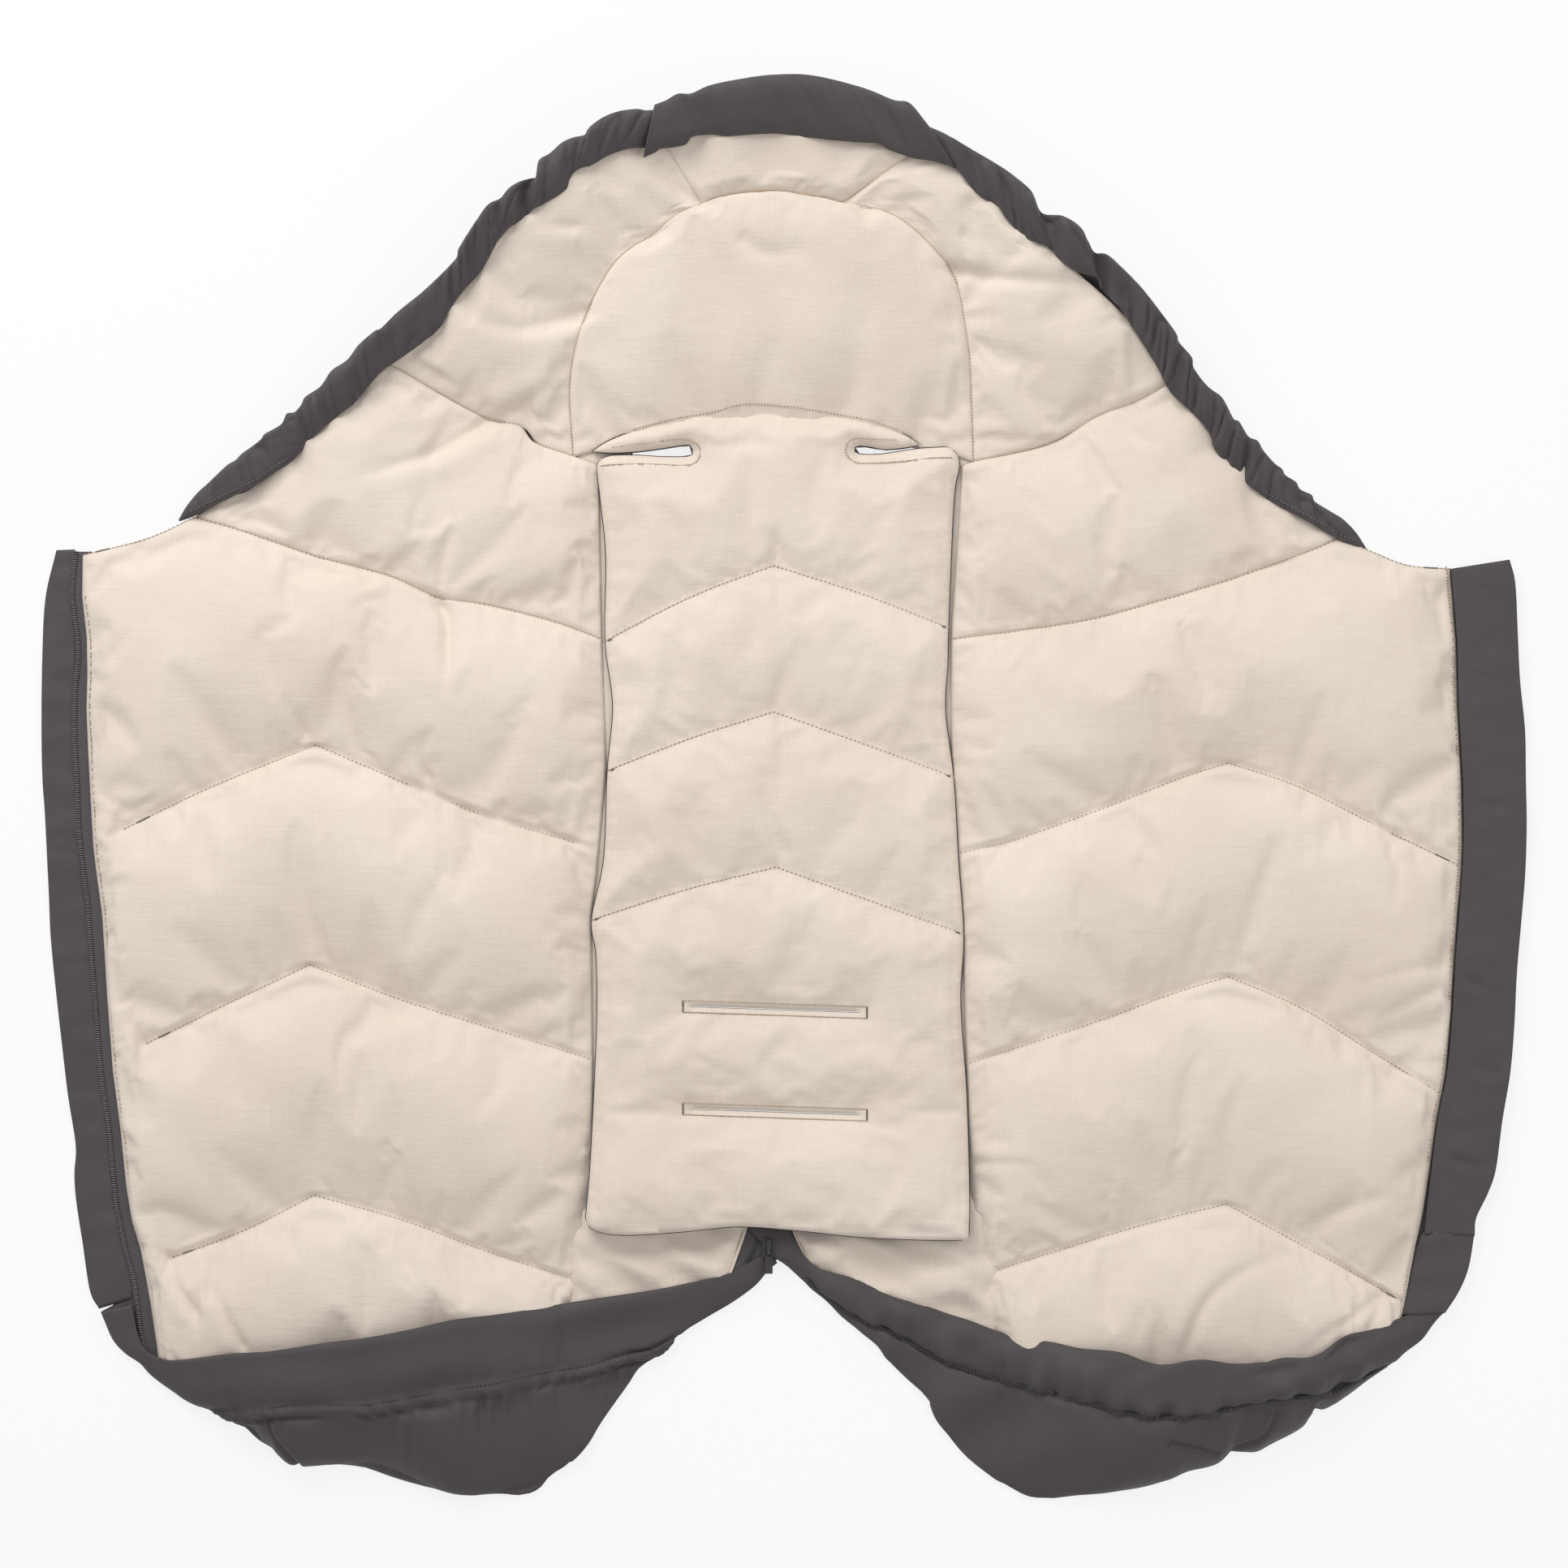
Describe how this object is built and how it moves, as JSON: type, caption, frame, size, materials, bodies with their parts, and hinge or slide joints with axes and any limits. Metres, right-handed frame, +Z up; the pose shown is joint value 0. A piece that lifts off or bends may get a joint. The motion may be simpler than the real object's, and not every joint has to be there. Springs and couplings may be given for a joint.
{
  "type": "stroller footmuff",
  "caption": "Quilted stroller footmuff, unzipped and laid open: gathered hood, front wings that fold over, hanging seat pad with strap slots, harness window and split toe pockets.",
  "frame": {"origin": "on the floor under the middle of the part as it lies open", "axes": "+X across the open footmuff, along its longest extent, +Y towards the hood, +Z up from the floor, its shortest extent"},
  "size_m": [0.9859, 0.9482, 0.068],
  "materials": {
    "shell_fabric": "matt dark softshell with a faint sheen",
    "lining_fabric": "matt cream cotton",
    "wadding": "loose white polyester fill",
    "zip_tape": "matt woven tape",
    "zip_coil": "shiny black coil",
    "slider_metal": "dark satin",
    "elastic": "matt covered cord"
  },
  "bodies": {
    "back": {"back_shell": "shell_fabric", "back_lining": "lining_fabric", "hood_shell": "shell_fabric", "hood_wadding": "wadding", "hood_lining_centre": "lining_fabric", "hood_lining_left": "lining_fabric", "hood_lining_right": "lining_fabric", "hood_top_insert": "lining_fabric", "casing_centre": "shell_fabric", "casing_left": "shell_fabric", "casing_right": "shell_fabric", "hood_elastic": "elastic", "left_toe_neck": "shell_fabric", "left_neck_flap": "shell_fabric", "right_toe_neck": "shell_fabric", "right_neck_coil": "zip_coil", "zip_chain": "zip_coil", "zip_bottom_stop": "slider_metal"},
    "left_wing": {"left_shoulder_lining": "lining_fabric", "left_shoulder_wadding": "wadding", "left_shoulder_shell": "shell_fabric", "left_wing_lining": "lining_fabric", "left_wing_wadding": "wadding", "left_wing_shell": "shell_fabric", "left_casing_end": "shell_fabric", "left_zip_tape": "zip_tape", "left_zip_coil": "zip_coil", "left_toe_pocket": "shell_fabric", "left_toe_lining": "lining_fabric", "left_toe_flap": "shell_fabric"},
    "right_wing": {"right_shoulder_lining": "lining_fabric", "right_shoulder_wadding": "wadding", "right_shoulder_shell": "shell_fabric", "right_wing_lining": "lining_fabric", "right_wing_wadding": "wadding", "right_wing_shell": "shell_fabric", "right_casing_end": "shell_fabric", "right_zip_tape": "zip_tape", "right_zip_coil": "zip_coil", "right_toe_pocket": "shell_fabric", "right_toe_lining": "lining_fabric", "right_toe_coil": "zip_coil"},
    "pad": {"pad_backing": "shell_fabric", "pad_wadding": "wadding", "pad_lining": "lining_fabric"},
    "storm_flap": {"storm_flap": "shell_fabric"},
    "zip_guard": {"zip_guard": "shell_fabric"},
    "slider": {"zip_slider": "slider_metal"},
    "puller": {"zip_puller": "slider_metal"}
  },
  "joints": [
    {"name": "left_wing_fold", "type": "hinge", "parent": "back", "child": "left_wing", "pos_m": [-0.1436, 0, 0.01], "axis": [0, 1, 0], "range_deg": [0, 115]},
    {"name": "right_wing_fold", "type": "hinge", "parent": "back", "child": "right_wing", "pos_m": [0.1436, 0, 0.01], "axis": [0, -1, 0], "range_deg": [0, 115]},
    {"name": "pad_lift", "type": "hinge", "parent": "back", "child": "pad", "pos_m": [-0.007, 0.226, 0.0075], "axis": [1, 0, 0], "range_deg": [-100, 0]},
    {"name": "storm_flap_turn", "type": "hinge", "parent": "left_wing", "child": "storm_flap", "pos_m": [-0.471, 0.15, 0.005], "axis": [0.0759, -0.9971, 0], "range_deg": [-120, 0]},
    {"name": "zip_guard_turn", "type": "hinge", "parent": "right_wing", "child": "zip_guard", "pos_m": [0.449, 0.144, 0.0075], "axis": [-0.0519, -0.9987, 0], "range_deg": [0, 120]},
    {"name": "slider_run", "type": "slide", "parent": "back", "child": "slider", "axis": [0, 1, 0], "range_m": [0, 0.03]},
    {"name": "puller_turn", "type": "hinge", "parent": "slider", "child": "puller", "pos_m": [-0.01, -0.3047, 0.011], "axis": [1, 0, 0], "range_deg": [-90, 0]}
  ]
}
